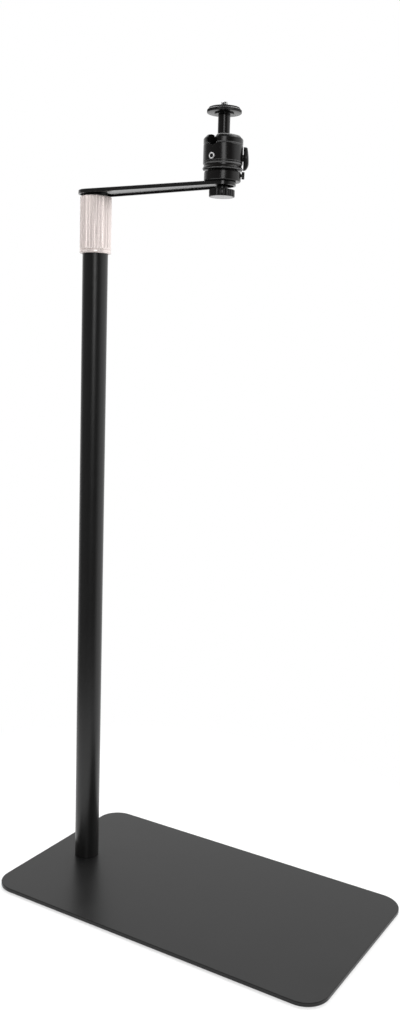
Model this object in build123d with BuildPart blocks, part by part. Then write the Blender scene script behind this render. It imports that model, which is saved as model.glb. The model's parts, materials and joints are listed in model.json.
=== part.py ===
"""Portable projector stand: steel foot plate, telescoping pole, flat arm and small ball head.

Millimetres, +Z up. The origin is on the floor under the middle of the foot plate.
The pole stands near the plate's -X end and the arm carries the head back over the middle.
"""
import os

from build123d import *

os.makedirs("parts", exist_ok=True)

# Clearances
slip = 0.3  # between round faces that turn or slide past each other
snug = 0.05  # around a plug or a threaded shank that doesn't move
stem_room = 0.3  # each side of the ball's stem in the drop notch

# Foot plate and its pads
base_length = 360.0
base_width = 204.0
base_thick = 4.0
base_corner_r = 23.0
base_edge = 0.5
pad_d = 21.0
pad_thick = 1.0
pad_inset = 29.0  # from the plate's edges to the middle of a pad

# Countersunk bolt that holds the pole to the plate
base_bolt_d = 6.0
base_bolt_head_d = 11.0
base_bolt_angle = 90.0
base_bolt_reach = 14.0  # above the plate
foot_plug_height = 26.0

# Pole and the thinner tube that slides in it
pole_inset = 40.6  # from the plate's end to the pole's axis
pole_d = 25.0
pole_wall = 1.2
pole_length = 669.0
riser_wall = 1.2
riser_length = 540.0

# Fluted collar that clamps the sliding tube
collar_d = 30.6
collar_length = 54.0
collar_overlap = 45.0  # how far the collar reaches down over the pole
collar_rim_height = 3.3
collar_rim_groove = 0.5
collar_edge = 0.8
flute_count = 32
flute_r = 1.3
flute_depth = 0.6
neck_height = 2.7  # sliding tube that shows between collar and arm

# Flat arm, a shallow channel that opens downwards
arm_reach = 142.0  # from the pole's axis to the head's axis
arm_height = 3.6
arm_web = 1.4
arm_wall = 1.8
arm_hub_r = 17.2
arm_tip_r = 12.4
arm_edge = 0.4
arm_bolt_d = 8.0
arm_bolt_head_d = 13.5
arm_bolt_head_height = 2.0
arm_bolt_edge = 0.8
arm_bolt_socket_d = 5.8
arm_bolt_socket_depth = 1.3
arm_bolt_reach = 16.0
riser_plug_height = 22.0

# Thumb screw under the arm, with a standard quarter-inch stud
stud_d = 6.35
stud_reach = 5.5  # into the head's base
knob_d = 23.2
knob_height = 6.2
knob_drop = 9.6  # from the arm's underside to the bottom of the knob
knob_neck_d = 10.5
knob_edge = 0.5
knob_flute_count = 24
knob_flute_r = 0.9
knob_flute_depth = 0.45
knob_face_d = 20.6
knob_face_depth = 0.8

# Fixed base of the ball head, with the pan bearing on top
head_base_d = 33.2
head_base_height = 8.0
head_base_edge = 0.6
pan_neck_d = 27.0
pan_neck_height = 1.1

# Turning body: flared skirt, waist, then a plain barrel with a fine line round its foot
# (its heights are above the body's underside)
head_d = 35.6
skirt_d = 36.2
skirt_round = 1.6
flare_height = 3.3
waist_d = 34.2
waist_height = 4.7
band_height = 5.8
line_height = 7.2
line_depth = 0.3
body_height = 22.1  # up to the foot of the cap
seam_height = 0.7  # of the bevel on each side of the seam between body and cap
seam_depth = 0.5
cap_height = 8.4
cap_side_height = 4.7  # straight part of the cap's side
cap_crown_d = 22.0  # where the shoulder meets the flat round the mouth
cap_bulge = 0.9
mouth_d = 16.2
mouth_edge = 0.5

# Ball, stem and mounting platform
ball_d = 17.0
ball_below_rim = 5.0
ball_flat = 6.5  # from the ball's centre down to its flat foot
stem_d = 10.9
stem_length = 22.8  # from the ball's centre to the platform
platform_d = 31.0
platform_thick = 4.3
platform_edge = 0.7
platform_step_d = 17.5
platform_step = 1.3
platform_pad_d = 28.0
platform_pad_thick = 1.4
camera_screw_d = 6.35
camera_screw_reach = 5.0  # above the pad
camera_screw_edge = 0.5
camera_flange_d = 11.5

# Screws and lever on the head
notch_bearing = -94.0  # degrees from +X, of the drop notch and the friction screw
friction_height = 20.0  # of the friction screw's axis above the arm
friction_screw_d = 6.2
friction_screw_length = 5.0
friction_screw_proud = 0.6
friction_socket_d = 3.8
friction_socket_depth = 2.2
pan_screw_d = 2.6
pan_screw_reach = 5.0  # into the base
pan_knob_d = 6.4
pan_knob_thick = 2.6
pan_knob_gap = 0.6  # between the base and the small knob
pan_knob_edge = 0.4
pan_knob_height = 5.8  # of the small knob's axis above the arm
lever_bearing = 30.0  # degrees from +X
lever_height = 20.9  # of the lever's axis above the arm
lever_gap = 0.7  # between the head and the lever
lever_length = 19.4
lever_hub_d = 11.4
lever_tip_width = 6.0
lever_thick = 4.3
lever_top_thick = 2.9
lever_low_thick = 1.2
lever_crown_drop = 2.6  # from the lever's axis down to its thickest place
lever_stem_d = 6.0
lever_stem_reach = 5.5  # into the head

# Derived places
base_bottom = pad_thick
base_top = base_bottom + base_thick
pole_x = pole_inset - base_length / 2
head_x = pole_x + arm_reach
pole_bore_d = pole_d - 2 * pole_wall
pole_top = base_top + pole_length
riser_d = pole_bore_d - 2 * slip
riser_bore_d = riser_d - 2 * riser_wall
collar_bottom = pole_top - collar_overlap
collar_top = collar_bottom + collar_length
arm_bottom = collar_top + neck_height
arm_top = arm_bottom + arm_height
web_bottom = arm_top - arm_web
knob_bottom = arm_bottom - knob_drop
pan_plane = arm_top + head_base_height + pan_neck_height
body_bottom = pan_plane + slip
cap_bottom = body_bottom + body_height
cap_top = cap_bottom + cap_height
cap_side_top = cap_bottom + cap_side_height
ball_z = cap_top - ball_below_rim
socket_r = ball_d / 2 + slip
notch_width = stem_d + 2 * stem_room
platform_bottom = ball_z + stem_length
platform_top = platform_bottom + platform_thick
friction_z = arm_top + friction_height
lever_z = arm_top + lever_height
pan_knob_z = arm_top + pan_knob_height
pan_knob_inner = head_base_d / 2 + pan_knob_gap
lever_inner = head_d / 2 + lever_gap


def at_pole(height):
    """Level plane at a height, centred on the pole's axis."""
    return Plane(origin=(pole_x, 0, height))


def at_head(height):
    """Level plane at a height, centred on the head's axis."""
    return Plane(origin=(head_x, 0, height))


# Axis and planes of the head, the last ones looking out along its screws
head_axis = Axis((head_x, 0, 0), (0, 0, 1))
head_section = Plane(origin=(head_x, 0, 0), x_dir=(1, 0, 0), z_dir=(0, -1, 0))
lever_dir = Vector(1, 0, 0).rotate(Axis.Z, lever_bearing)
lever_across = Vector(0, 1, 0).rotate(Axis.Z, lever_bearing)
lever_plane = Plane(origin=(head_x, 0, lever_z), x_dir=lever_across, z_dir=lever_dir)
lever_section = Plane(origin=(head_x, 0, lever_z), x_dir=lever_dir, z_dir=-lever_across)
pan_screw_plane = Plane(origin=(head_x, 0, pan_knob_z), x_dir=lever_across, z_dir=lever_dir)
notch_dir = Vector(1, 0, 0).rotate(Axis.Z, notch_bearing)
notch_across = Vector(0, 1, 0).rotate(Axis.Z, notch_bearing)
friction_plane = Plane(origin=(head_x, 0, friction_z), x_dir=notch_across, z_dir=notch_dir)
notch_plane = Plane(origin=(head_x, 0, ball_z), x_dir=notch_across, z_dir=notch_dir)


def save(piece, name):
    """Label a finished piece and write it as its own file."""
    piece.part.label = name
    export_step(piece.part, f"parts/{name}.step")


def arm_outline(inset):
    """Sketch the arm seen from above: a wide hub and a narrow tip joined by straight sides."""
    with BuildSketch(Plane.XY, mode=Mode.PRIVATE) as outline:
        with Locations((pole_x, 0)):
            Circle(arm_hub_r - inset)
        with Locations((head_x, 0)):
            Circle(arm_tip_r - inset)
        make_hull()
    return outline.sketch


# Foot plate, countersunk from below under the pole
with BuildPart() as base_plate:
    with BuildSketch(Plane.XY.offset(base_bottom)):
        RectangleRounded(base_length, base_width, base_corner_r)
    extrude(amount=base_thick)
    rims = base_plate.faces().filter_by(Axis.Z).edges()
    chamfer(rims, base_edge)
    with Locations(Plane(origin=(pole_x, 0, base_bottom), z_dir=(0, 0, -1))):
        CounterSinkHole(
            base_bolt_d / 2 + snug, base_bolt_head_d / 2 + snug, counter_sink_angle=base_bolt_angle
        )
save(base_plate, "base_plate")

# Four anti-slip pads under the plate's corners
pad_x = base_length / 2 - pad_inset
pad_y = base_width / 2 - pad_inset
pad_places = {
    "front_left": (-pad_x, -pad_y),
    "front_right": (pad_x, -pad_y),
    "back_left": (-pad_x, pad_y),
    "back_right": (pad_x, pad_y),
}
for corner, place in pad_places.items():
    with BuildPart() as foot_pad:
        with BuildSketch():
            with Locations(place):
                Circle(pad_d / 2)
        extrude(amount=pad_thick)
    save(foot_pad, f"foot_pad_{corner}")

# Countersunk bolt, flush with the plate's underside
base_bolt_head_height = (base_bolt_head_d - base_bolt_d) / 2
with BuildPart() as base_bolt:
    with BuildSketch(at_pole(base_bottom)):
        Circle(base_bolt_head_d / 2)
    extrude(amount=base_bolt_head_height, taper=base_bolt_angle / 2)
    with BuildSketch(at_pole(base_bottom)):
        Circle(base_bolt_d / 2)
    extrude(amount=base_thick + base_bolt_reach)
save(base_bolt, "base_bolt")

# Plug in the pole's foot that takes the bolt
with BuildPart() as pole_foot_plug:
    with BuildSketch(at_pole(base_top)):
        Circle(pole_bore_d / 2 - snug)
        Circle(base_bolt_d / 2 + snug, mode=Mode.SUBTRACT)
    extrude(amount=foot_plug_height)
save(pole_foot_plug, "pole_foot_plug")

# Pole
with BuildPart() as pole_tube:
    with BuildSketch(at_pole(base_top)):
        Circle(pole_d / 2)
        Circle(pole_bore_d / 2, mode=Mode.SUBTRACT)
    extrude(amount=pole_length)
save(pole_tube, "pole_tube")

# Lock collar: fluted grip over a plain rim, stepped bore for pole and sliding tube
with BuildPart() as lock_collar:
    with BuildSketch(at_pole(collar_bottom)):
        Circle(collar_d / 2)
    extrude(amount=collar_length)
    chamfer(lock_collar.edges().group_by(Axis.Z)[0], collar_edge / 2)
    chamfer(lock_collar.edges().group_by(Axis.Z)[-1], collar_edge)
    grip_bottom = collar_bottom + collar_rim_height + collar_rim_groove
    with BuildSketch(at_pole(collar_bottom + collar_rim_height)):
        Circle(collar_d / 2)
        Circle(collar_d / 2 - flute_depth, mode=Mode.SUBTRACT)
    extrude(amount=collar_rim_groove, mode=Mode.SUBTRACT)
    with BuildSketch(at_pole(grip_bottom)):
        with PolarLocations(collar_d / 2 - flute_depth + flute_r, flute_count):
            Circle(flute_r)
    extrude(until=Until.LAST, mode=Mode.SUBTRACT)
    with BuildSketch(at_pole(collar_bottom)):
        Circle(pole_d / 2 + slip)
    extrude(amount=collar_overlap + slip, mode=Mode.SUBTRACT)
    with BuildSketch(at_pole(collar_bottom)):
        Circle(riser_d / 2 + slip)
    extrude(amount=collar_length, mode=Mode.SUBTRACT)
save(lock_collar, "lock_collar")

# Sliding tube, which stands up into the arm's channel
with BuildPart() as riser_tube:
    with BuildSketch(at_pole(web_bottom - riser_length)):
        Circle(riser_d / 2)
        Circle(riser_bore_d / 2, mode=Mode.SUBTRACT)
    extrude(amount=riser_length)
save(riser_tube, "riser_tube")

# Plug in the sliding tube's top that takes the arm's bolt
with BuildPart() as riser_top_plug:
    with BuildSketch(at_pole(web_bottom - riser_plug_height)):
        Circle(riser_bore_d / 2 - snug)
        Circle(arm_bolt_d / 2 + slip, mode=Mode.SUBTRACT)
    extrude(amount=riser_plug_height)
save(riser_top_plug, "riser_top_plug")

# Arm: outer hull, hollowed from below, with a hole at each end
with BuildPart() as arm_bar:
    with BuildSketch(Plane.XY.offset(arm_bottom)):
        add(arm_outline(0))
    extrude(amount=arm_height)
    chamfer(arm_bar.edges().group_by(Axis.Z)[-1], arm_edge)
    with BuildSketch(Plane.XY.offset(arm_bottom)):
        add(arm_outline(arm_wall))
    extrude(amount=arm_height - arm_web, mode=Mode.SUBTRACT)
    with BuildSketch(at_pole(arm_bottom)):
        Circle(arm_bolt_d / 2 + snug)
    extrude(amount=arm_height, mode=Mode.SUBTRACT)
    with BuildSketch(at_head(arm_bottom)):
        Circle(stud_d / 2 + slip)
    extrude(amount=arm_height, mode=Mode.SUBTRACT)
save(arm_bar, "arm_bar")

# Low-head bolt on top of the arm
with BuildPart() as arm_bolt:
    with BuildSketch(at_pole(arm_top)):
        Circle(arm_bolt_head_d / 2)
    extrude(amount=arm_bolt_head_height)
    chamfer(arm_bolt.edges().group_by(Axis.Z)[-1], arm_bolt_edge)
    with BuildSketch(at_pole(arm_top + arm_bolt_head_height)):
        RegularPolygon(arm_bolt_socket_d / 2, 6)
    extrude(amount=-arm_bolt_socket_depth, mode=Mode.SUBTRACT)
    with BuildSketch(at_pole(arm_top)):
        Circle(arm_bolt_d / 2)
    extrude(amount=-arm_web - arm_bolt_reach)
save(arm_bolt, "arm_bolt")

# Thumb screw: grooved knob with a neck, a bare face below and a stud above
with BuildPart() as thumb_knob:
    with BuildSketch(at_head(knob_bottom)):
        Circle(knob_d / 2)
    extrude(amount=knob_height)
    chamfer(thumb_knob.edges(), knob_edge)
    with BuildSketch(at_head(knob_bottom)):
        with PolarLocations(knob_d / 2 - knob_flute_depth + knob_flute_r, knob_flute_count):
            Circle(knob_flute_r)
    extrude(amount=knob_height, mode=Mode.SUBTRACT)
    with BuildSketch(at_head(knob_bottom)):
        Circle(knob_neck_d / 2)
    extrude(amount=web_bottom - knob_bottom)
    with BuildSketch(at_head(knob_bottom)):
        Circle(knob_face_d / 2)
    extrude(amount=knob_face_depth, mode=Mode.SUBTRACT)
    with BuildSketch(at_head(knob_bottom)):
        Circle(stud_d / 2)
    extrude(until=Until.LAST, mode=Mode.SUBTRACT)
save(thumb_knob, "thumb_knob")

with BuildPart() as thumb_knob_face:
    with BuildSketch(at_head(knob_bottom)):
        Circle(knob_face_d / 2 - snug)
    extrude(amount=knob_face_depth)
save(thumb_knob_face, "thumb_knob_face")

with BuildPart() as thumb_stud:
    with BuildSketch(at_head(knob_bottom + knob_face_depth)):
        Circle(stud_d / 2)
    extrude(amount=arm_top + stud_reach - knob_bottom - knob_face_depth)
save(thumb_stud, "thumb_stud")

# Head base: fixed disc with the pan bearing on top
with BuildPart() as head_base:
    with BuildSketch(at_head(arm_top)):
        Circle(head_base_d / 2)
    extrude(amount=head_base_height)
    chamfer(head_base.edges(), head_base_edge)
    with BuildSketch(at_head(arm_top + head_base_height)):
        Circle(pan_neck_d / 2)
    extrude(amount=pan_neck_height)
    with BuildSketch(at_head(arm_top)):
        Circle(stud_d / 2 + slip)
    extrude(amount=stud_reach + slip, mode=Mode.SUBTRACT)
    with BuildSketch(pan_screw_plane.offset(head_base_d / 2 - pan_screw_reach)):
        Circle(pan_screw_d / 2 + snug)
    extrude(amount=pan_screw_reach, mode=Mode.SUBTRACT)
save(head_base, "head_base")

# Small thumb screw in the base that locks the pan
with BuildPart() as pan_lock_screw:
    with BuildSketch(pan_screw_plane.offset(pan_knob_inner)):
        Circle(pan_knob_d / 2)
    extrude(amount=pan_knob_thick)
    chamfer(pan_lock_screw.edges(), pan_knob_edge)
    with BuildSketch(pan_screw_plane.offset(head_base_d / 2 - pan_screw_reach)):
        Circle(pan_screw_d / 2)
    extrude(amount=pan_screw_reach + pan_knob_gap)
save(pan_lock_screw, "pan_lock_screw")

# Turning body: turned outline, then the ball's socket, the drop notch and the screw holes
with BuildPart() as head_body:
    with BuildSketch(head_section):
        with BuildLine():
            foot = RadiusArc(
                (skirt_d / 2 - skirt_round, body_bottom),
                (skirt_d / 2, body_bottom + skirt_round),
                -skirt_round,
            )
            line_z = body_bottom + line_height
            Polyline(
                foot @ 1,
                (waist_d / 2, body_bottom + flare_height),
                (waist_d / 2, body_bottom + waist_height),
                (head_d / 2, body_bottom + band_height),
                (head_d / 2, line_z - line_depth),
                (head_d / 2 - line_depth, line_z),
                (head_d / 2, line_z + line_depth),
                (head_d / 2, cap_bottom - seam_height),
                (head_d / 2 - seam_depth, cap_bottom),
                (0, cap_bottom),
                (0, body_bottom),
                foot @ 0,
            )
        make_face()
    revolve(axis=head_axis)
    with BuildSketch(at_head(ball_z - socket_r)):
        Circle(socket_r)
    extrude(amount=cap_bottom - ball_z + socket_r, mode=Mode.SUBTRACT)
    with BuildSketch(notch_plane):
        Circle(notch_width / 2)
    extrude(amount=head_d, mode=Mode.SUBTRACT)
    with BuildSketch(friction_plane.offset(head_d / 2 + friction_screw_proud - friction_screw_length)):
        Circle(friction_screw_d / 2 + snug)
    extrude(amount=friction_screw_length, mode=Mode.SUBTRACT)
    with BuildSketch(lever_plane.offset(head_d / 2 - lever_stem_reach)):
        Circle(lever_stem_d / 2 + slip)
    extrude(amount=lever_stem_reach, mode=Mode.SUBTRACT)
save(head_body, "head_body")

# Cap: rounded shoulder round the ball's mouth, drawn in over the ball and cut by the drop notch
with BuildPart() as head_cap:
    with BuildSketch(head_section):
        with BuildLine():
            shoulder = SagittaArc((head_d / 2, cap_side_top), (cap_crown_d / 2, cap_top), -cap_bulge)
            Polyline(
                shoulder @ 1,
                (mouth_d / 2 + mouth_edge, cap_top),
                (mouth_d / 2, cap_top - mouth_edge),
                (socket_r, ball_z),
                (socket_r, cap_bottom),
                (head_d / 2 - seam_depth, cap_bottom),
                (head_d / 2, cap_bottom + seam_height),
                shoulder @ 0,
            )
        make_face()
    revolve(axis=head_axis)
    with BuildSketch(notch_plane):
        Circle(notch_width / 2)
        Rectangle(notch_width, ball_below_rim, align=(Align.CENTER, Align.MIN))
    extrude(amount=head_d, mode=Mode.SUBTRACT)
save(head_cap, "head_cap")

# Set screw below the notch that sets the ball's drag
with BuildPart() as friction_screw:
    screw_face = friction_plane.offset(head_d / 2 + friction_screw_proud)
    with BuildSketch(screw_face):
        Circle(friction_screw_d / 2)
    extrude(amount=-friction_screw_length)
    with BuildSketch(screw_face):
        RegularPolygon(friction_socket_d / 2, 6)
    extrude(amount=-friction_socket_depth, mode=Mode.SUBTRACT)
save(friction_screw, "friction_screw")

# Lever's clamp stem
with BuildPart() as lever_stem:
    with BuildSketch(lever_plane.offset(head_d / 2 - lever_stem_reach + slip)):
        Circle(lever_stem_d / 2)
    extrude(amount=lever_stem_reach - slip + lever_gap)
save(lever_stem, "lever_stem")

# Leaf-shaped lever: round in the middle, with an outer face that thins towards both ends
with BuildPart() as lock_lever:
    with BuildSketch(lever_plane.offset(lever_inner)):
        Circle(lever_hub_d / 2)
        tip_centre = (lever_length - lever_tip_width) / 2
        with Locations((0, tip_centre), (0, -tip_centre)):
            Circle(lever_tip_width / 2)
        make_hull()
    extrude(amount=lever_thick)
    with BuildSketch(lever_section):
        with BuildLine():
            crown = ThreePointArc(
                (lever_inner + lever_low_thick, -lever_length / 2),
                (lever_inner + lever_thick, -lever_crown_drop),
                (lever_inner + lever_top_thick, lever_length / 2),
            )
            Polyline(
                crown @ 1,
                (lever_inner, lever_length / 2),
                (lever_inner, -lever_length / 2),
                crown @ 0,
            )
        make_face()
    extrude(amount=lever_hub_d, both=True, mode=Mode.INTERSECT)
save(lock_lever, "lock_lever")

# Ball with a flat foot, and its stem, turned from one piece
with BuildPart() as ball_stem:
    with Locations(at_head(ball_z)):
        Sphere(ball_d / 2)
    split(bisect_by=at_head(ball_z - ball_flat), keep=Keep.TOP)
    with BuildSketch(at_head(ball_z)):
        Circle(stem_d / 2)
    extrude(amount=stem_length)
save(ball_stem, "ball_stem")

# Mounting platform with a step down to the stem
with BuildPart() as platform_disc:
    with BuildSketch(at_head(platform_bottom)):
        Circle(platform_step_d / 2)
    extrude(amount=platform_step)
    with BuildSketch(at_head(platform_bottom + platform_step)):
        Circle(platform_d / 2)
    extrude(amount=platform_thick - platform_step)
    chamfer(platform_disc.edges().group_by(Axis.Z)[-1], platform_edge)
save(platform_disc, "platform_disc")

# Rubber ring on the platform
with BuildPart() as platform_pad:
    with BuildSketch(at_head(platform_top)):
        Circle(platform_pad_d / 2)
        Circle(camera_flange_d / 2 + snug, mode=Mode.SUBTRACT)
    extrude(amount=platform_pad_thick)
save(platform_pad, "platform_pad")

# Quarter-inch screw that goes into the projector
with BuildPart() as camera_screw:
    with BuildSketch(at_head(platform_top)):
        Circle(camera_flange_d / 2)
    extrude(amount=platform_pad_thick)
    with BuildSketch(at_head(platform_top)):
        Circle(camera_screw_d / 2)
    extrude(amount=platform_pad_thick + camera_screw_reach)
    chamfer(camera_screw.edges().group_by(Axis.Z)[-1], camera_screw_edge)
save(camera_screw, "camera_screw")
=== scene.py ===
"""Looks of the portable projector stand: finishes, fine pieces, studio light and camera. Metres."""

import json
import math

import bmesh
import bpy
from mathutils import Matrix, Vector


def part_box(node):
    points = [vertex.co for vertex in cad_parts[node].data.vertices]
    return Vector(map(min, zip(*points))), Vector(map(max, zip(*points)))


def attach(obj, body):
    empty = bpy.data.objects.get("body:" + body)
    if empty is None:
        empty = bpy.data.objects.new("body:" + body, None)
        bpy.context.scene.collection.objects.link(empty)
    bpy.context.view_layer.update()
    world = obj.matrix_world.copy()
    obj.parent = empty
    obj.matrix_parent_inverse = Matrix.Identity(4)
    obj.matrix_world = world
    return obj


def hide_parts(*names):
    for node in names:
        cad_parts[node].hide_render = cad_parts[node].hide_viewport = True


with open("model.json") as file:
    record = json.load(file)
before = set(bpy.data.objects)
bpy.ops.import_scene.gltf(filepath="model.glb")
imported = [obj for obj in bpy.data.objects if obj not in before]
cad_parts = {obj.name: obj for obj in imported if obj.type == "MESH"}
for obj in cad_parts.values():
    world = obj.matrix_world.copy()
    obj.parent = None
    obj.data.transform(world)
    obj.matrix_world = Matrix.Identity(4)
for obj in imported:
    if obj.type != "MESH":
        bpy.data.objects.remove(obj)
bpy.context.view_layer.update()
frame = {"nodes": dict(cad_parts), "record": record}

MM = 0.001
UP = Vector((0, 0, 1))

slots = {part["node"]: part["material_slot"] for part in frame["record"]["subparts"]}
behaviour = frame["record"]["behaviour"]
body_of = {node: body for body, nodes in behaviour["bodies"].items() for node in nodes}
joint_axis = {joint["name"]: Vector(joint["axis"]) for joint in behaviour["joints"]}
notch_side = joint_axis["ball_tilt"].cross(UP)  # way that the drop notch looks

# Camera, fitted to the edges of the plate, the pole and the arm
IMAGE_LONG_SIDE = 1012  # pixels
FOCAL_PIXELS = 1017.79
SENSOR = 36.0  # millimetres, as Blender takes it
CLIP_START = 10 * MM
CAMERA_PLACE = Vector((488.06, -813.79, 535.04)) * MM
CAMERA_YAW = math.radians(31.493)
CAMERA_DIP = math.radians(8.439)
CAMERA_ROLL = math.radians(1.723)


def make_camera():
    forward = Vector((
        -math.sin(CAMERA_YAW) * math.cos(CAMERA_DIP),
        math.cos(CAMERA_YAW) * math.cos(CAMERA_DIP),
        -math.sin(CAMERA_DIP),
    ))
    right = Vector((math.cos(CAMERA_YAW), math.sin(CAMERA_YAW), 0))
    up = right.cross(forward)
    rolled_right = right * math.cos(CAMERA_ROLL) + up * math.sin(CAMERA_ROLL)
    rolled_up = up * math.cos(CAMERA_ROLL) - right * math.sin(CAMERA_ROLL)
    lens = bpy.data.cameras.new("camera")
    lens.sensor_width = SENSOR
    lens.lens = FOCAL_PIXELS / IMAGE_LONG_SIDE * SENSOR
    lens.clip_start = CLIP_START
    camera = bpy.data.objects.new("camera", lens)
    turn = Matrix((rolled_right, rolled_up, -forward)).transposed()
    camera.matrix_world = Matrix.Translation(CAMERA_PLACE) @ turn.to_4x4()
    bpy.context.collection.objects.link(camera)
    bpy.context.scene.camera = camera


# Studio. Bearings are in degrees from the camera's side of the stand, to the camera's right. start and
# full are cosines of the angles from the bearing between which a glow grows
WHITE = {"Color": (1, 1, 1, 1), "Strength": 1.0}
SURROUND_DARK = 0.13
BACKDROP = {"bearing": 150, "start": -0.30, "full": 0.42}
LEFT_GLOW = {"bearing": -82, "start": 0.25, "full": 0.95}
LEFT_GLOW_STRENGTH = 0.13
FLOOR_RADIUS = 0.50
FLOOR_SIDES = 128
FLOOR_BEARING, FLOOR_SHIFT = -120, 0.10  # of the floor's middle from the stand's
FLOOR_WHITE_FROM = 0.44  # shares of the floor's radius between which it turns to plain white
FLOOR_WHITE_TO = 0.85
FLOOR_WHITE_LEAST = 0.45  # share of plain white under the stand
FLOOR_COLOUR = 0.90
FLOOR_ROUGHNESS = 0.9
FLOOR_SPECULAR = 0.1
FILL = {"distance": 2.4, "size": (1.6, 1.6), "aim_height": 0.5, "in_reflections": False}
LIGHTS = (
    {"name": "front", "bearing": 3.5, "climb": 11, "distance": 4.5, "size": (1.5, 1.8), "power": 29,
     "aim_height": 0.62},
    {"name": "back", "bearing": 172, "climb": 68, "distance": 2.4, "size": (2.6, 1.2), "power": 46,
     "aim_height": 0.4},
    {"name": "fill", "bearing": 5, "climb": 30, "power": 34, **FILL},
    {"name": "left fill", "bearing": -85, "climb": 15, "power": 27, **FILL},
    {"name": "right fill", "bearing": 85, "climb": 2, "power": 18, **FILL},
)


def grey(value):
    return (value, value, value)


def direction(bearing, climb=0.0):
    """Unit vector from the stand, at a bearing and a climb in degrees."""
    bearing, climb = math.radians(bearing), math.radians(climb)
    towards_camera = Vector((math.sin(CAMERA_YAW), -math.cos(CAMERA_YAW), 0))
    to_right = Vector((math.cos(CAMERA_YAW), math.sin(CAMERA_YAW), 0))
    level = towards_camera * math.cos(bearing) + to_right * math.sin(bearing)
    return level * math.cos(climb) + Vector((0, 0, math.sin(climb)))


def add_node(tree, kind, **values):
    """New node; values name its settings, or its input sockets by their names with _ for spaces."""
    node = tree.nodes.new(kind)
    for name, value in values.items():
        socket = name.replace("_", " ")
        if socket in node.inputs:
            node.inputs[socket].default_value = value
        else:
            setattr(node, name, value)
    return node


def math_node(tree, operation, first, second):
    """Sum, product or such of two sockets, or of a socket and a number."""
    node = add_node(tree, "ShaderNodeMath", operation=operation)
    for socket, value in zip(node.inputs, (first, second)):
        if isinstance(value, (int, float)):
            socket.default_value = value
        else:
            tree.links.new(value, socket)
    return node.outputs[0]


def glow(tree, coords, bearing, start, full):
    """Share from 0 to 1 that grows towards one bearing."""
    side = add_node(tree, "ShaderNodeVectorMath", operation="DOT_PRODUCT")
    side.inputs[1].default_value = direction(bearing)
    level = add_node(tree, "ShaderNodeMapRange", interpolation_type="SMOOTHSTEP",
                     From_Min=start, From_Max=full)
    tree.links.new(coords.outputs["Generated"], side.inputs[0])
    tree.links.new(side.outputs["Value"], level.inputs["Value"])
    return level.outputs["Result"]


def make_world():
    """White behind the stand, in every ray that goes there, and a dim studio in front of it."""
    world = bpy.data.worlds.new("studio")
    bpy.context.scene.world = world
    world.use_nodes = True
    tree = world.node_tree
    tree.nodes.clear()
    coords = tree.nodes.new("ShaderNodeTexCoord")
    path = tree.nodes.new("ShaderNodeLightPath")
    surround = tree.nodes.new("ShaderNodeBackground")
    backdrop = add_node(tree, "ShaderNodeBackground", **WHITE)
    choose = tree.nodes.new("ShaderNodeMixShader")
    out = tree.nodes.new("ShaderNodeOutputWorld")
    left = math_node(tree, "MULTIPLY", glow(tree, coords, **LEFT_GLOW), LEFT_GLOW_STRENGTH)
    dim = math_node(tree, "ADD", left, SURROUND_DARK)
    behind = glow(tree, coords, **BACKDROP)
    white = math_node(tree, "MAXIMUM", path.outputs["Is Camera Ray"], behind)
    tree.links.new(dim, surround.inputs["Strength"])
    tree.links.new(white, choose.inputs[0])
    tree.links.new(surround.outputs[0], choose.inputs[1])
    tree.links.new(backdrop.outputs[0], choose.inputs[2])
    tree.links.new(choose.outputs[0], out.inputs["Surface"])


def make_light(name, bearing, climb, distance, size, power, aim_height, in_reflections=True):
    """Area light that looks at a height on the stand's axis."""
    lamp = bpy.data.lights.new(name, "AREA")
    lamp.shape = "RECTANGLE"
    lamp.size, lamp.size_y = size
    lamp.energy = power
    aim = Vector((0, 0, aim_height))
    light = bpy.data.objects.new(name, lamp)
    light.location = aim + direction(bearing, climb) * distance
    light.rotation_euler = (aim - light.location).to_track_quat("-Z", "Y").to_euler()
    light.visible_glossy = in_reflections
    bpy.context.collection.objects.link(light)


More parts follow.
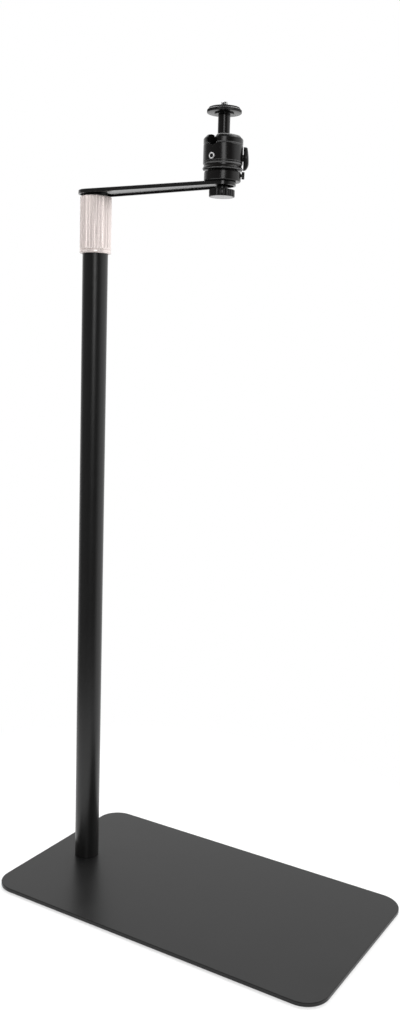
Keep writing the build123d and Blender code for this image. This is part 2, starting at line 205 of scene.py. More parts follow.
def make_floor():
    """Pale round floor that turns to plain white at its rim, lit and shadowed near the stand."""
    turns = [2 * math.pi * i / FLOOR_SIDES for i in range(FLOOR_SIDES)]
    rim = [(FLOOR_RADIUS * math.cos(turn), FLOOR_RADIUS * math.sin(turn), 0) for turn in turns]
    mesh = bpy.data.meshes.new("floor")
    mesh.from_pydata(rim, [], [tuple(range(FLOOR_SIDES))])
    floor = bpy.data.objects.new("floor", mesh)
    floor.location = direction(FLOOR_BEARING) * FLOOR_SHIFT
    bpy.context.collection.objects.link(floor)
    material = bpy.data.materials.new("floor")
    material.use_nodes = True
    tree = material.node_tree
    shader = tree.nodes["Principled BSDF"]
    shader.inputs["Base Color"].default_value = (*grey(FLOOR_COLOUR), 1)
    shader.inputs["Roughness"].default_value = FLOOR_ROUGHNESS
    shader.inputs["Specular IOR Level"].default_value = FLOOR_SPECULAR
    coords = tree.nodes.new("ShaderNodeTexCoord")
    away = add_node(tree, "ShaderNodeVectorMath", operation="LENGTH")
    fade = add_node(tree, "ShaderNodeMapRange", interpolation_type="SMOOTHSTEP",
                    From_Min=FLOOR_WHITE_FROM * FLOOR_RADIUS, From_Max=FLOOR_WHITE_TO * FLOOR_RADIUS,
                    To_Min=FLOOR_WHITE_LEAST)
    path = tree.nodes.new("ShaderNodeLightPath")
    white = add_node(tree, "ShaderNodeEmission", **WHITE)
    mix = tree.nodes.new("ShaderNodeMixShader")
    tree.links.new(coords.outputs["Object"], away.inputs[0])
    tree.links.new(away.outputs["Value"], fade.inputs["Value"])
    mirrored = math_node(tree, "MAXIMUM", path.outputs["Is Glossy Ray"],
                         path.outputs["Is Transmission Ray"])
    seen = math_node(tree, "MAXIMUM", path.outputs["Is Camera Ray"], mirrored)
    tree.links.new(math_node(tree, "MULTIPLY", fade.outputs["Result"], seen), mix.inputs[0])
    tree.links.new(shader.outputs[0], mix.inputs[1])
    tree.links.new(white.outputs[0], mix.inputs[2])
    tree.links.new(mix.outputs[0], tree.nodes["Material Output"].inputs["Surface"])
    floor.data.materials.append(material)


# Finishes. Each look has the two colours it is mottled in and the size of the patches, its roughness
# and how far that swings, and the size and depth of its grain
MOTTLE_DETAIL = 4
GRAIN_DETAIL = 2
NOISE_LOW, NOISE_HIGH = 0.3, 0.7  # most of the noise lies between them
DRAWN_LEVEL = (0.05, 0.05, 1)  # stretches that draw the mottle out sideways and upright
DRAWN_UPRIGHT = (1, 1, 0.002)
LOOKS = {
    "plate_paint": {
        "dark": grey(0.006), "light": grey(0.009), "patch": 50 * MM, "rough": 0.32, "rough_swing": 0.03,
        "grain": 0.6 * MM, "grain_depth": 0.006 * MM, "specular": 0.3,
    },
    "pole_paint": {
        "dark": grey(0.005), "light": grey(0.007), "patch": 50 * MM, "rough": 0.30, "rough_swing": 0.02,
        "grain": 0.5 * MM, "grain_depth": 0.004 * MM,
    },
    "arm_paint": {
        "dark": grey(0.005), "light": grey(0.007), "patch": 40 * MM, "rough": 0.18, "rough_swing": 0.02,
        "grain": 0.5 * MM, "grain_depth": 0.0005 * MM,
    },
    "collar_metal": {
        "dark": (0.80, 0.71, 0.68), "light": (0.90, 0.81, 0.78), "patch": 4 * MM,
        "rough": 0.26, "rough_swing": 0.04, "grain": 0.4 * MM, "grain_depth": 0.006 * MM,
        "metallic": 0.35, "stretch": DRAWN_UPRIGHT,
    },
    "head_metal": {
        "dark": (0.003, 0.0026, 0.0025), "light": (0.005, 0.0044, 0.0042), "patch": 10 * MM,
        "rough": 0.23, "rough_swing": 0.02, "grain": 0.4 * MM, "grain_depth": 0.001 * MM,
        "specular": 0.42, "stretch": DRAWN_LEVEL,
    },
    "knob_metal": {
        "dark": grey(0.003), "light": grey(0.005), "patch": 5 * MM, "rough": 0.24, "rough_swing": 0.02,
        "grain": 0.4 * MM, "grain_depth": 0.001 * MM, "specular": 0.4,
    },
    "shoulder_metal": {
        "dark": grey(0.003), "light": grey(0.005), "patch": 10 * MM, "rough": 0.34, "rough_swing": 0.02,
        "grain": 0.4 * MM, "grain_depth": 0.001 * MM, "specular": 0.12,
    },
    # painted reflection of the floor: a lighter grey for bevels that look down at a slant
    "painted_floor_reflection": {
        "dark": grey(0.09), "light": grey(0.12), "patch": 10 * MM, "rough": 0.24, "rough_swing": 0.03,
        "grain": 0.4 * MM, "grain_depth": 0.002 * MM, "stretch": DRAWN_LEVEL,
    },
    "rim_cut": {
        "dark": grey(0.15), "light": grey(0.19), "patch": 10 * MM, "rough": 0.24, "rough_swing": 0.03,
        "grain": 0.4 * MM, "grain_depth": 0.002 * MM,
    },
    "nickel": {
        "dark": grey(0.74), "light": grey(0.86), "patch": 2 * MM, "rough": 0.3, "rough_swing": 0.04,
        "grain": 0.3 * MM, "grain_depth": 0.004 * MM, "metallic": 0.4,
    },
    # black oxide of the lever's stem, and painted shade inside the screws' sockets
    "oxide_black_and_socket_shade": {
        "dark": grey(0.010), "light": grey(0.016), "patch": 3 * MM, "rough": 0.45, "rough_swing": 0.05,
        "grain": 0.3 * MM, "grain_depth": 0.01 * MM,
    },
    "lever_plastic": {
        "dark": grey(0.008), "light": grey(0.012), "patch": 10 * MM, "rough": 0.32, "rough_swing": 0.04,
        "grain": 0.4 * MM, "grain_depth": 0.004 * MM,
    },
    "plug_plastic": {
        "dark": grey(0.02), "light": grey(0.03), "patch": 10 * MM, "rough": 0.5, "rough_swing": 0.05,
        "grain": 0.4 * MM, "grain_depth": 0.02 * MM,
    },
    "steel": {
        "dark": grey(0.55), "light": grey(0.68), "patch": 4 * MM, "rough": 0.25, "rough_swing": 0.05,
        "grain": 0.3 * MM, "grain_depth": 0.006 * MM, "metallic": 1.0,
    },
    "turned_steel": {
        "dark": grey(0.32), "light": grey(0.42), "patch": 4 * MM, "rough": 0.28, "rough_swing": 0.05,
        "grain": 0.3 * MM, "grain_depth": 0.006 * MM, "metallic": 1.0,
    },
    "rubber": {
        "dark": grey(0.014), "light": grey(0.022), "patch": 4 * MM, "rough": 0.8, "rough_swing": 0.06,
        "grain": 0.4 * MM, "grain_depth": 0.05 * MM, "specular": 0.3,
    },
}


def finish(name, dark, light, patch, rough, rough_swing, grain, grain_depth, metallic=0.0,
           specular=0.5, stretch=(1, 1, 1)):
    """Material with mottled colour, uneven gloss and a fine raised grain."""
    material = bpy.data.materials.new(name)
    material.use_nodes = True
    tree = material.node_tree
    shader = tree.nodes["Principled BSDF"]
    shader.inputs["Metallic"].default_value = metallic
    shader.inputs["Specular IOR Level"].default_value = specular
    coords = tree.nodes.new("ShaderNodeTexCoord")
    spread = add_node(tree, "ShaderNodeMapping", Scale=stretch)
    mottle = add_node(tree, "ShaderNodeTexNoise", Scale=1 / patch, Detail=MOTTLE_DETAIL)
    tint = add_node(tree, "ShaderNodeMix", data_type="RGBA")
    tint.inputs["A"].default_value = (*dark, 1)
    tint.inputs["B"].default_value = (*light, 1)
    gloss = add_node(tree, "ShaderNodeMapRange", From_Min=NOISE_LOW, From_Max=NOISE_HIGH,
                     To_Min=rough - rough_swing, To_Max=rough + rough_swing)
    speckle = add_node(tree, "ShaderNodeTexNoise", Scale=1 / grain, Detail=GRAIN_DETAIL)
    bump = add_node(tree, "ShaderNodeBump", Strength=1.0, Distance=grain_depth)
    tree.links.new(coords.outputs["Object"], spread.inputs["Vector"])
    tree.links.new(spread.outputs["Vector"], mottle.inputs["Vector"])
    tree.links.new(spread.outputs["Vector"], speckle.inputs["Vector"])
    tree.links.new(mottle.outputs["Fac"], tint.inputs["Factor"])
    tree.links.new(tint.outputs["Result"], shader.inputs["Base Color"])
    tree.links.new(mottle.outputs["Fac"], gloss.inputs["Value"])
    tree.links.new(gloss.outputs["Result"], shader.inputs["Roughness"])
    tree.links.new(speckle.outputs["Fac"], bump.inputs["Height"])
    tree.links.new(bump.outputs["Normal"], shader.inputs["Normal"])
    return material


finishes = {name: finish(name, **look) for name, look in LOOKS.items()}


# Measures of the frame's solids
def foot_of(node):
    """Place of the middle of a node's underside, with Z up."""
    low, high = (Vector(corner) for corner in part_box(node))
    return Matrix.Translation(((low.x + high.x) / 2, (low.y + high.y) / 2, low.z))


def radius_of(node):
    low, high = (Vector(corner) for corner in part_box(node))
    return (high.x - low.x) / 2


def height_of(node):
    low, high = (Vector(corner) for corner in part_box(node))
    return high.z - low.z


# Solids of the frame: finish, rounded edges and smooth shading
EDGE_ROUND = 0.3 * MM
FINE_EDGE_ROUND = 0.12 * MM
FINE_EDGE_NODES = ("arm_bar", "head_base", "head_body")
EDGE_SEGMENTS = 2
BLACKENED_NODES = ("lever_stem",)
WELD = 0.001 * MM
SHARP = math.radians(30)


def dress(node):
    solid = frame["nodes"][node]
    solid.data.materials.clear()
    solid.data.materials.append(finishes["oxide_black_and_socket_shade" if node in BLACKENED_NODES else slots[node]])
    solid.data.polygons.foreach_set("use_smooth", [True] * len(solid.data.polygons))
    weld = solid.modifiers.new("weld", "WELD")
    weld.merge_threshold = WELD
    bevel = solid.modifiers.new("round", "BEVEL")
    bevel.width = FINE_EDGE_ROUND if node in FINE_EDGE_NODES else EDGE_ROUND
    bevel.segments = EDGE_SEGMENTS
    bevel.limit_method = "ANGLE"
    bevel.angle_limit = SHARP
    level = solid.modifiers.new("level", "WEIGHTED_NORMAL")
    level.keep_sharp = False


# Faces of the head with a coat of their own: bevels that look down at a slant get a lighter grey, a
# painted reflection of the floor, and the cap's shoulder is dull. lowest and highest bound how far up
# their normals point, and outside is their least distance from the head's axis, as a share of its
# radius
COATED_FACES = (
    {"node": "head_body", "coat": "painted_floor_reflection", "lowest": -0.80, "highest": -0.35, "outside": 0.9},
    {"node": "head_cap", "coat": "painted_floor_reflection", "lowest": -0.80, "highest": -0.35, "outside": 0.9},
    {"node": "head_cap", "coat": "shoulder_metal", "lowest": 0.15, "highest": 0.97, "outside": 0.6},
)


def coat_faces(node, coat, lowest, highest, outside):
    solid = frame["nodes"][node]
    middle = foot_of("head_base").translation
    least = outside * radius_of("head_cap")
    solid.data.materials.append(finishes[coat])
    index = len(solid.data.materials) - 1
    for face in solid.data.polygons:
        out = Vector((face.center.x - middle.x, face.center.y - middle.y))
        if lowest < face.normal.z < highest and out.length > least:
            face.material_index = index


# Fine pieces: what they share
ROUND_SIDES = 96
SIDES_PER_FLUTE = 12
SIDES_PER_KNURL = 6
EDGE_MIDDLE = 0.3  # how far in the middle of a rounded edge lies, as a share of the edge


def lathe(outline, sides, shape=None):
    """Points and faces of an outline of (radius, height) turned about Z.

    The outline is a closed loop, or starts and ends on the axis. shape(turn, radius, height) gives
    the radius at an angle where the piece isn't round.
    """
    points, rings = [], []
    for radius, height in outline:
        if radius == 0:
            rings.append([len(points)] * sides)
            points.append((0, 0, height))
            continue
        rings.append(list(range(len(points), len(points) + sides)))
        for i in range(sides):
            turn = 2 * math.pi * i / sides
            reach = shape(turn, radius, height) if shape else radius
            points.append((reach * math.cos(turn), reach * math.sin(turn), height))
    pairs = list(zip(rings, rings[1:]))
    if outline[0][0] > 0:
        pairs.append((rings[-1], rings[0]))
    faces = []
    for low, high in pairs:
        for i in range(sides):
            j = (i + 1) % sides
            faces.append(tuple(dict.fromkeys((low[i], low[j], high[j], high[i]))))
    return points, faces


def loft(sections):
    """Points and faces of a closed skin through sections that all have the same number of points."""
    count = len(sections[0])
    points = [point for section in sections for point in section]
    faces = []
    for here in range(0, len(points) - count, count):
        there = here + count
        for side in range(count):
            after = (side + 1) % count
            faces.append((here + side, here + after, there + after, there + side))
    faces += [tuple(range(count)), tuple(range(len(points) - count, len(points)))]
    return points, faces


def lower_edge(radius, height, edge):
    """Outline of a rounded edge, from an underside at a height out to the side."""
    middle = EDGE_MIDDLE * edge
    return [(radius - edge, height), (radius - middle, height + middle), (radius, height + edge)]


def upper_edge(radius, height, edge):
    """Outline of a rounded edge, from the side in to a top at a height."""
    middle = EDGE_MIDDLE * edge
    return [(radius, height - edge), (radius - middle, height - middle), (radius - edge, height)]


def scallop(turn, count, width):
    """Depth from 0 to 1 of round grooves at an angle; width is a groove's share of its pitch."""
    off = abs((turn * count / (2 * math.pi)) % 1 - 0.5) * 2
    return max(0.0, 1 - (off / width) ** 2)


def rise(value, start, full):
    """Smooth step from 0 to 1."""
    share = min(1.0, max(0.0, (value - start) / (full - start)))
    return share * share * (3 - 2 * share)


def looking_out(place, axis):
    """Place with Z turned to look out along a level axis and X across it."""
    return Matrix.Translation(place) @ axis.to_track_quat("Z", "Y").to_matrix().to_4x4()


def make_piece(node, points, faces, place, coat=None, oxide_black_and_socket_shade=0, extra=None):
    """Fine piece for a node: moves with the node's body, has its finish, and stands in its place.

    A coat is a finish of its own. The first faces, as many as the count of dark faces, get the dark
    finish, which is painted shade where they line a socket. A piece named as extra is added to the
    node, which stays.
    """
    name = extra or f"{node}_fine"
    mesh = bpy.data.meshes.new(name)
    mesh.from_pydata([place @ Vector(point) for point in points], [], faces)
    shell = bmesh.new()
    shell.from_mesh(mesh)
    bmesh.ops.recalc_face_normals(shell, faces=shell.faces)
    shell.to_mesh(mesh)
    shell.free()
    mesh.polygons.foreach_set("use_smooth", [True] * len(mesh.polygons))
    mesh.set_sharp_from_angle(angle=SHARP)
    mesh.materials.append(finishes[coat or slots[node]])
    if oxide_black_and_socket_shade:
        mesh.materials.append(finishes["oxide_black_and_socket_shade"])
        for face in mesh.polygons[:oxide_black_and_socket_shade]:
            face.material_index = 1
    piece = bpy.data.objects.new(name, mesh)
    bpy.context.collection.objects.link(piece)
    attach(piece, body_of[node])
    if not extra:
        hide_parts(node)


# Lock collar: round flutes that run out at the top and end in a bowl above the groove of the rim
COLLAR_RAISE = 0.8 * MM  # above its solid
COLLAR_SLIP = 0.3 * MM
COLLAR_FLUTES = 32
COLLAR_FLUTE_DEPTH = 0.6 * MM
COLLAR_FLUTE_WIDTH = 0.78
COLLAR_RIM = 3.3 * MM
COLLAR_GROOVE = 0.5 * MM
COLLAR_GROOVE_FLANK = 0.1 * MM
COLLAR_BEVEL_IN, COLLAR_BEVEL_UP = 0.1 * MM, 0.2 * MM  # on both edges of the groove
COLLAR_BOWL = 1.8 * MM
COLLAR_BOWL_STEPS = 6
COLLAR_FOOT_EDGE = 0.4 * MM
COLLAR_TOP_EDGE = 0.8 * MM
COLLAR_TOP_MIDDLE = 0.35  # how far down the middle of the top edge lies, as a share of the edge


def make_collar():
    radius, height = radius_of("lock_collar"), height_of("lock_collar")
    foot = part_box("lock_collar")[0][2]
    pole_bore = radius_of("pole_tube") + COLLAR_SLIP
    riser_bore = radius_of("riser_tube") + COLLAR_SLIP
    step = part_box("pole_tube")[1][2] + COLLAR_SLIP - foot
    floor = radius - COLLAR_FLUTE_DEPTH
    grip = COLLAR_RIM + COLLAR_GROOVE
    edge = COLLAR_TOP_EDGE
    outline = lower_edge(radius, 0, COLLAR_FOOT_EDGE)
    outline += [
        (radius, COLLAR_RIM - COLLAR_BEVEL_UP), (radius - COLLAR_BEVEL_IN, COLLAR_RIM),
        (floor, COLLAR_RIM + COLLAR_GROOVE_FLANK), (floor, grip - COLLAR_GROOVE_FLANK),
        (radius - COLLAR_BEVEL_IN, grip), (radius, grip + COLLAR_BEVEL_UP),
    ]
    for i in range(1, COLLAR_BOWL_STEPS + 1):
        outline.append((radius, grip + COLLAR_BOWL * i / COLLAR_BOWL_STEPS))
    outline += [
        (radius, height - edge), (radius - EDGE_MIDDLE * edge, height - COLLAR_TOP_MIDDLE * edge),
        (radius - edge, height), (riser_bore, height), (riser_bore, step), (pole_bore, step),
        (pole_bore, 0),
    ]

    def shape(turn, reach, level):
        if reach < floor or level < grip:
            return reach
        deep = COLLAR_FLUTE_DEPTH * scallop(turn, COLLAR_FLUTES, COLLAR_FLUTE_WIDTH)
        return min(reach, radius - deep * rise(level, grip, grip + COLLAR_BOWL))

    place = foot_of("lock_collar") @ Matrix.Translation((0, 0, COLLAR_RAISE))
    make_piece("lock_collar", *lathe(outline, SIDES_PER_FLUTE * COLLAR_FLUTES, shape), place)


# Thumb knob under the arm, with round flutes, and its turned bare face
KNOB_HEIGHT = 6.2 * MM
KNOB_FLUTES = 24
KNOB_FLUTE_DEPTH = 0.45 * MM
KNOB_FLUTE_WIDTH = 0.6
KNOB_TURN = math.radians(3)  # sets one land between flutes square to the front light
KNOB_EDGE = 0.5 * MM
KNOB_NECK = 5.25 * MM
KNOB_RECESS = 0.05 * MM  # room round the bare face
FACE_GROOVES = 12
FACE_GROOVE_DEPTH = 0.03 * MM
FACE_GROOVE_STEPS = 4  # in each groove


def make_thumb_knob():
    radius, height = radius_of("thumb_knob"), height_of("thumb_knob")
    face, face_depth = radius_of("thumb_knob_face"), height_of("thumb_knob_face")
    stud = radius_of("thumb_stud")
    recess = face + KNOB_RECESS
    outline = [(recess, face_depth), (recess, 0)]
    outline += lower_edge(radius, 0, KNOB_EDGE) + upper_edge(radius, KNOB_HEIGHT, KNOB_EDGE)
    outline += [
        (KNOB_NECK + KNOB_EDGE, KNOB_HEIGHT), (KNOB_NECK, KNOB_HEIGHT + KNOB_EDGE),
        (KNOB_NECK, height), (stud, height), (stud, face_depth),
    ]

    def shape(turn, reach, level):
        deep = KNOB_FLUTE_DEPTH * scallop(turn - KNOB_TURN, KNOB_FLUTES, KNOB_FLUTE_WIDTH)
        return min(reach, radius - deep) if reach > recess else reach

    knob = lathe(outline, SIDES_PER_FLUTE * KNOB_FLUTES, shape)
    make_piece("thumb_knob", *knob, foot_of("thumb_knob"), "knob_metal")

    steps = FACE_GROOVE_STEPS * FACE_GROOVES
    turned = []
    for i in range(steps + 1):
        wave = 0.5 - 0.5 * math.cos(2 * math.pi * i / FACE_GROOVE_STEPS)
        turned.append((face * i / steps, FACE_GROOVE_DEPTH * wave))
    turned += [(face, face_depth), (0, face_depth)]
    disc = lathe(turned, ROUND_SIDES)
    make_piece("thumb_knob_face", *disc, foot_of("thumb_knob_face"), "turned_steel")


# Pad that thickens the arm's web between the sliding tube and the thumb screw
ARM_PAD_THICK = 0.8 * MM
ARM_PAD_WALL = 1.9 * MM  # from the arm's outside in to the pad
ARM_PAD_ROOM = 0.8 * MM  # from the tube and the knob's neck
ARM_PAD_STATIONS = 24


def make_arm_pad():
    low, high = (Vector(corner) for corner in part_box("arm_bar"))
    pole, head = foot_of("riser_tube").translation, foot_of("head_base").translation
    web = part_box("riser_tube")[1][2]
    under = web - ARM_PAD_THICK
    hub, tip = pole.x - low.x - ARM_PAD_WALL, high.x - head.x - ARM_PAD_WALL
    start = pole.x + radius_of("riser_tube") + ARM_PAD_ROOM
    end = head.x - KNOB_NECK - ARM_PAD_ROOM
    lean = math.asin((hub - tip) / (head.x - pole.x))
    sections = []
    for station in range(ARM_PAD_STATIONS + 1):
        x = start + (end - start) * station / ARM_PAD_STATIONS
        half = hub / math.cos(lean) - (x - pole.x) * math.tan(lean)
        sections.append([(x, -half, web), (x, half, web), (x, half, under), (x, -half, under)])
    make_piece("arm_bar", *loft(sections), Matrix(), extra="arm_pad")


# Platform with a knurled rim
PLATFORM_SEAT = 0.02 * MM  # room over the stem that the platform turns on
PLATFORM_STEP_RADIUS = 8.75 * MM
PLATFORM_STEP = 1.3 * MM
PLATFORM_STEP_EDGE = 0.3 * MM
PLATFORM_EDGE = 0.7 * MM
PLATFORM_LOWER_EDGE = 0.35 * MM
PLATFORM_KNURLS = 96
PLATFORM_KNURL_DEPTH = 0.2 * MM
PLATFORM_KNURL_WIDTH = 0.9


def make_platform():
    radius, height = radius_of("platform_disc"), height_of("platform_disc")
    outline = [
        (0, PLATFORM_SEAT), (PLATFORM_STEP_RADIUS - PLATFORM_STEP_EDGE, PLATFORM_SEAT),
        (PLATFORM_STEP_RADIUS, PLATFORM_STEP_EDGE), (PLATFORM_STEP_RADIUS, PLATFORM_STEP),
    ]
    outline += lower_edge(radius, PLATFORM_STEP, PLATFORM_LOWER_EDGE)
    outline += [(radius, height - PLATFORM_EDGE), (radius - PLATFORM_EDGE, height), (0, height)]

    def shape(turn, reach, level):
        deep = PLATFORM_KNURL_DEPTH * scallop(turn, PLATFORM_KNURLS, PLATFORM_KNURL_WIDTH)
        return min(reach, radius - deep)

    disc = lathe(outline, SIDES_PER_KNURL * PLATFORM_KNURLS, shape)
    make_piece("platform_disc", *disc, foot_of("platform_disc"))


# Ribbed rubber pad on the platform, and the threaded screw in its middle
PAD_RIBS = 6
PAD_RIB_DEPTH = 0.35 * MM
PAD_RIB_SECTION = (  # shares of a rib's pitch from its outer side, and depths there
    (0.1, 0), (0.5, 0), (0.6, PAD_RIB_DEPTH), (0.95, PAD_RIB_DEPTH),
)
PAD_BORE_ROOM = 0.05 * MM
PAD_EDGE = 0.3 * MM
SCREW_EDGE = 0.3 * MM
SCREW_SIDES = 48
THREAD_RADIUS = 3.175 * MM
THREAD_PITCH = 1.27 * MM
THREAD_DEPTH = 0.62 * MM
THREAD_FLANK = 2.4  # steepness of the groove's sides
THREAD_RUN_IN = 0.5  # of a pitch
THREAD_END = 0.5 * MM
THREAD_ROWS = 44


def make_platform_pad():
    radius, height = radius_of("platform_pad"), height_of("platform_pad")
    bore = radius_of("camera_screw") + PAD_BORE_ROOM
    pitch = (radius - bore) / PAD_RIBS
    outline = [(bore, 0), (radius, 0), (radius, height - PAD_EDGE)]
    for i in range(PAD_RIBS):
        out = radius - i * pitch
        for share, drop in PAD_RIB_SECTION:
            outline.append((out - share * pitch, height - drop))
    make_piece("platform_pad", *lathe(outline, ROUND_SIDES), foot_of("platform_pad"))


def make_camera_screw():
    flange, height = radius_of("camera_screw"), height_of("camera_screw")
    shoulder = height_of("platform_pad")
    tip = height - THREAD_END
    outline = [
        (0, 0), (flange, 0), (flange, shoulder - SCREW_EDGE), (flange - SCREW_EDGE, shoulder),
    ]
    for i in range(THREAD_ROWS + 1):
        outline.append((THREAD_RADIUS, shoulder + (tip - shoulder) * i / THREAD_ROWS))
    outline += [(THREAD_RADIUS - THREAD_END, height), (0, height)]

    def shape(turn, reach, level):
        if reach != THREAD_RADIUS:
            return reach
        wave = (level / THREAD_PITCH - turn / (2 * math.pi)) % 1
        deep = THREAD_DEPTH * max(0.0, 1 - THREAD_FLANK * abs(wave - 0.5))
        return reach - deep * rise(level, shoulder, shoulder + THREAD_RUN_IN * THREAD_PITCH)

    make_piece("camera_screw", *lathe(outline, SCREW_SIDES, shape), foot_of("camera_screw"))


# Bright-cut rim on the shoulder of the cap, open at the drop notch
RIM_SECTION = (  # radius, and height above the cap's top
    (13.2 * MM, -1.6 * MM), (16.0 * MM, -2.2 * MM), (15.85 * MM, -1.5 * MM),
    (15.2 * MM, -0.73 * MM), (13.2 * MM, -0.73 * MM),
)
RIM_HALF_GAP = 5.9 * MM
RIM_STATIONS = 120


def make_cap_rim():
    axis = foot_of("head_base").translation
    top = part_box("head_cap")[1][2]
    start = math.atan2(notch_side.y, notch_side.x)
    sections = []
    for station in range(RIM_STATIONS + 1):
        section = []
        for radius, height in RIM_SECTION:
            gap = math.asin(RIM_HALF_GAP / radius)
            turn = start + gap + (2 * math.pi - 2 * gap) * station / RIM_STATIONS
            section.append((radius * math.cos(turn), radius * math.sin(turn), height))
        sections.append(section)
    place = Matrix.Translation((axis.x, axis.y, top))
    make_piece("head_cap", *loft(sections), place, "rim_cut", extra="head_cap_rim")


# Screws with a hexagonal socket, drawn with Z looking out of the socket and their face at height 0
SOCKET_SIDES = 72
SOCKET_BEVEL = 0.12  # of the socket's width across corners
SOCKET_POINT = 0.2  # depth of the drilled point, of the same width
# the faces inside a socket take the dark finish as painted shade
SOCKET_ROWS = 2  # rows of faces that are the inside of the socket
ARM_BOLT_SOCKET = 5.8 * MM
ARM_BOLT_SOCKET_DEPTH = 1.1 * MM
ARM_BOLT_HEAD_HEIGHT = 2.0 * MM
ARM_BOLT_HEAD = 6.75 * MM
ARM_BOLT_SHANK = 4.0 * MM
ARM_BOLT_EDGE = 0.8 * MM
ARM_BOLT_MIDDLE = 0.25  # how far down the middle of its edge lies, as a share of the edge
BASE_BOLT_SOCKET = 4.0 * MM
BASE_BOLT_SOCKET_DEPTH = 1.8 * MM
BASE_BOLT_SHANK = 3.0 * MM
FRICTION_SOCKET = 3.8 * MM
FRICTION_SOCKET_DEPTH = 1.8 * MM
FRICTION_RADIUS = 2.8 * MM
FRICTION_LENGTH = 5.0 * MM
FRICTION_PROUD = 0.6 * MM
FRICTION_EDGE = 0.4 * MM


def hexagon(turn, across):
    """Distance from the axis to the side of a hexagon, from its width across corners."""
    to_corner = math.pi / 6  # from the middle of a side
    return across / 2 * math.cos(to_corner) / math.cos(turn % (2 * to_corner) - to_corner)


def make_socket_screw(node, outside, place, socket, depth, bottom, coat=None):
    """Screw with a socket of a width and depth; outside is its outline from its face to its end."""
    half, bevel = 0.5 * socket, SOCKET_BEVEL * socket
    outline = [(0, -depth - SOCKET_POINT * socket), (half, -depth), (half, -bevel), (half + bevel, 0)]
    outline += outside + [(0, bottom)]

    def shape(turn, reach, level):
        return hexagon(turn, socket) if reach == half else reach

    screw = lathe(outline, SOCKET_SIDES, shape)
    # the inside of the socket is painted dark: painted shade
    make_piece(node, *screw, place, coat, SOCKET_ROWS * SOCKET_SIDES)


def make_arm_bolt():
    low, high = (Vector(corner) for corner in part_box("arm_bolt"))
    bottom = low.z - high.z
    radius, edge = ARM_BOLT_HEAD, ARM_BOLT_EDGE
    crown = Matrix.Translation(((low.x + high.x) / 2, (low.y + high.y) / 2, high.z))
    outside = [
        (radius - edge, 0), (radius - EDGE_MIDDLE * edge, -ARM_BOLT_MIDDLE * edge), (radius, -edge),
        (radius, -ARM_BOLT_HEAD_HEIGHT), (ARM_BOLT_SHANK, -ARM_BOLT_HEAD_HEIGHT),
        (ARM_BOLT_SHANK, bottom),
    ]
    make_socket_screw("arm_bolt", outside, crown, ARM_BOLT_SOCKET, ARM_BOLT_SOCKET_DEPTH, bottom)


def make_base_bolt():
    low, high = (Vector(corner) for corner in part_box("base_bolt"))
    bottom = low.z - high.z
    radius = radius_of("base_bolt")
    under = foot_of("base_bolt") @ Matrix.Rotation(math.pi, 4, "X")
    outside = [
        (radius, 0), (BASE_BOLT_SHANK, BASE_BOLT_SHANK - radius), (BASE_BOLT_SHANK, bottom),
    ]
    make_socket_screw("base_bolt", outside, under, BASE_BOLT_SOCKET, BASE_BOLT_SOCKET_DEPTH, bottom)


def make_friction_screw():
    low, high = (Vector(corner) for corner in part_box("friction_screw"))
    head_axis_x = (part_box("head_base")[0][0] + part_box("head_base")[1][0]) / 2
    middle = Vector((head_axis_x, 0, (low.z + high.z) / 2))
    face = middle + notch_side * (radius_of("head_cap") + FRICTION_PROUD)
    outside = [
        (FRICTION_RADIUS - FRICTION_EDGE, 0), (FRICTION_RADIUS, -FRICTION_EDGE),
        (FRICTION_RADIUS, -FRICTION_LENGTH),
    ]
    make_socket_screw("friction_screw", outside, looking_out(face, notch_side), FRICTION_SOCKET,
                      FRICTION_SOCKET_DEPTH, -FRICTION_LENGTH, "nickel")


# Small knurled knob that locks the pan
PAN_KNOB_RADIUS = 3.2 * MM
PAN_KNOB_THICK = 2.6 * MM
PAN_KNOB_GAP = 0.6 * MM
PAN_KNOB_EDGE = 0.4 * MM
PAN_KNOB_FLUTES = 18
PAN_KNOB_FLUTE_DEPTH = 0.7 * PAN_KNOB_EDGE
PAN_KNOB_FLUTE_WIDTH = 0.7
PAN_DISH_RIM = 0.5 * PAN_KNOB_RADIUS
PAN_DISH_FLOOR = 0.4 * PAN_KNOB_RADIUS
PAN_SHANK = 1.3 * MM
PAN_REACH = 5.0 * MM  # of the shank into the head's base


def make_pan_knob():
    low, high = (Vector(corner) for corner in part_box("pan_lock_screw"))
    base = foot_of("head_base").translation
    start = radius_of("head_base") - PAN_REACH
    axis = joint_axis["lever_turn"]
    place = looking_out(Vector((base.x, base.y, (low.z + high.z) / 2)) + axis * start, axis)
    near = PAN_REACH + PAN_KNOB_GAP
    far = near + PAN_KNOB_THICK
    radius, edge = PAN_KNOB_RADIUS, PAN_KNOB_EDGE
    outline = [(0, 0), (PAN_SHANK, 0), (PAN_SHANK, near)]
    outline += lower_edge(radius, near, edge) + upper_edge(radius, far, edge)
    outline += [(PAN_DISH_RIM, far), (PAN_DISH_FLOOR, far - edge), (0, far - edge)]

    def shape(turn, reach, level):
        deep = PAN_KNOB_FLUTE_DEPTH * scallop(turn, PAN_KNOB_FLUTES, PAN_KNOB_FLUTE_WIDTH)
        return min(reach, radius - deep)

    make_piece("pan_lock_screw", *lathe(outline, SIDES_PER_KNURL * PAN_KNOB_FLUTES, shape), place)


# Leaf-shaped lever: a loft of rounded sections from its lower to its upper tip
LEVER_HUB = 5.7 * MM
LEVER_TIP = 3.0 * MM
LEVER_GAP = 0.5 * MM
LEVER_LOW_THICK = 2.1 * MM
LEVER_THICK = 4.9 * MM
LEVER_TOP_THICK = 3.3 * MM
LEVER_LOW_STRETCH = 1.12  # of the half below the axis
LEVER_CROWN_DROP = 4.2 * MM  # of the thickest section below the axis
LEVER_END_ROUND = 1.0 * MM
LEVER_END_THICK = 0.35  # share of the thickness that is left at the tips
LEVER_LEAST_WIDTH = 0.05 * MM
LEVER_SQUARE = 0.7  # 1 makes sections elliptical, and less makes them squarer
LEVER_STATIONS = 48
LEVER_SIDES = 36


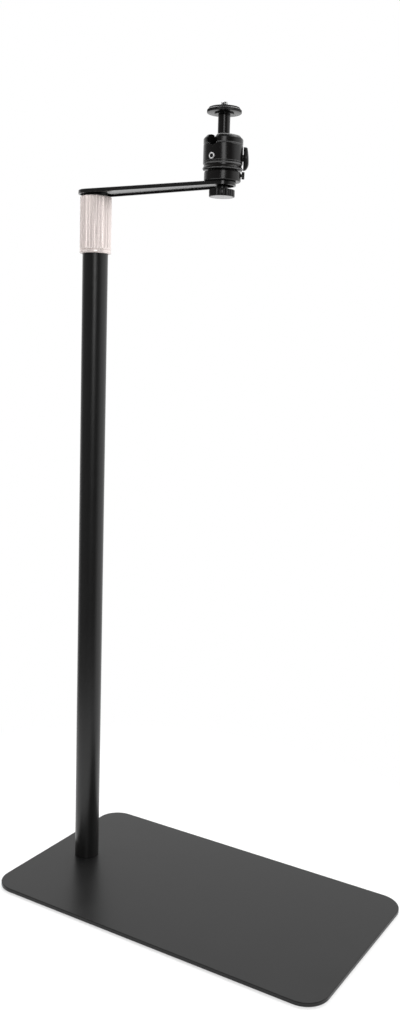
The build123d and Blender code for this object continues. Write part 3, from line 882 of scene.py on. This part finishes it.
def lever_half_width(level, half_length):
    """Half its width at a height from its axis: round hub and tips joined by straight sides."""
    level = abs(level)
    tip_place = half_length - LEVER_TIP
    lean = math.asin((LEVER_HUB - LEVER_TIP) / tip_place)
    low, high = LEVER_HUB * math.sin(lean), tip_place + LEVER_TIP * math.sin(lean)
    if level < low:
        return math.sqrt(LEVER_HUB ** 2 - level ** 2)
    if level > high:
        return math.sqrt(max(0.0, LEVER_TIP ** 2 - (level - tip_place) ** 2))
    share = (level - low) / (high - low)
    return ((1 - share) * LEVER_HUB + share * LEVER_TIP) * math.cos(lean)


def lever_thickness(level, half_length):
    """Thickness at a height, thinner towards both ends."""
    if level < -LEVER_CROWN_DROP:
        end, span = LEVER_LOW_THICK, half_length - LEVER_CROWN_DROP
    else:
        end, span = LEVER_TOP_THICK, half_length + LEVER_CROWN_DROP
    share = (level + LEVER_CROWN_DROP) / span
    return LEVER_THICK + (end - LEVER_THICK) * share ** 2


def squared(part):
    """Sine or cosine that makes a circle squarer."""
    return math.copysign(abs(part) ** LEVER_SQUARE, part)


def make_lever():
    low, high = (Vector(corner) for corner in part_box("lock_lever"))
    half_length = (high.z - low.z) / 2
    base = foot_of("head_base").translation
    axis = joint_axis["lever_turn"]
    across = UP.cross(axis)
    middle = Vector((base.x, base.y, (low.z + high.z) / 2))
    inner = middle + axis * (radius_of("head_cap") + LEVER_GAP)
    sections = []
    for station in range(LEVER_STATIONS + 1):
        level = -half_length * math.cos(math.pi * station / LEVER_STATIONS)
        climb = level * (LEVER_LOW_STRETCH if level < 0 else 1)
        to_end = (half_length - abs(level)) / LEVER_END_ROUND
        blunt = math.sqrt(min(1.0, max(0.0, to_end * (2 - min(1.0, to_end)))))
        left = LEVER_END_THICK + (1 - LEVER_END_THICK) * blunt
        thick = lever_thickness(level, half_length) * left
        width = max(lever_half_width(level, half_length), LEVER_LEAST_WIDTH)
        section = []
        for side in range(LEVER_SIDES):
            turn = 2 * math.pi * side / LEVER_SIDES
            wide, out = squared(math.cos(turn)), squared(math.sin(turn))
            place = inner + across * width * wide + axis * thick * (0.5 + 0.5 * out)
            section.append((place.x, place.y, place.z + climb))
        sections.append(section)
    make_piece("lock_lever", *loft(sections), Matrix())


make_collar()
make_arm_pad()
make_thumb_knob()
make_platform()
make_platform_pad()
make_camera_screw()
make_cap_rim()
make_arm_bolt()
make_base_bolt()
make_friction_screw()
make_pan_knob()
make_lever()
for node in frame["nodes"]:
    dress(node)
for faces in COATED_FACES:
    coat_faces(**faces)

make_camera()
make_world()
make_floor()
for light in LIGHTS:
    make_light(**light)

bpy.context.scene.view_settings.view_transform = "Standard"
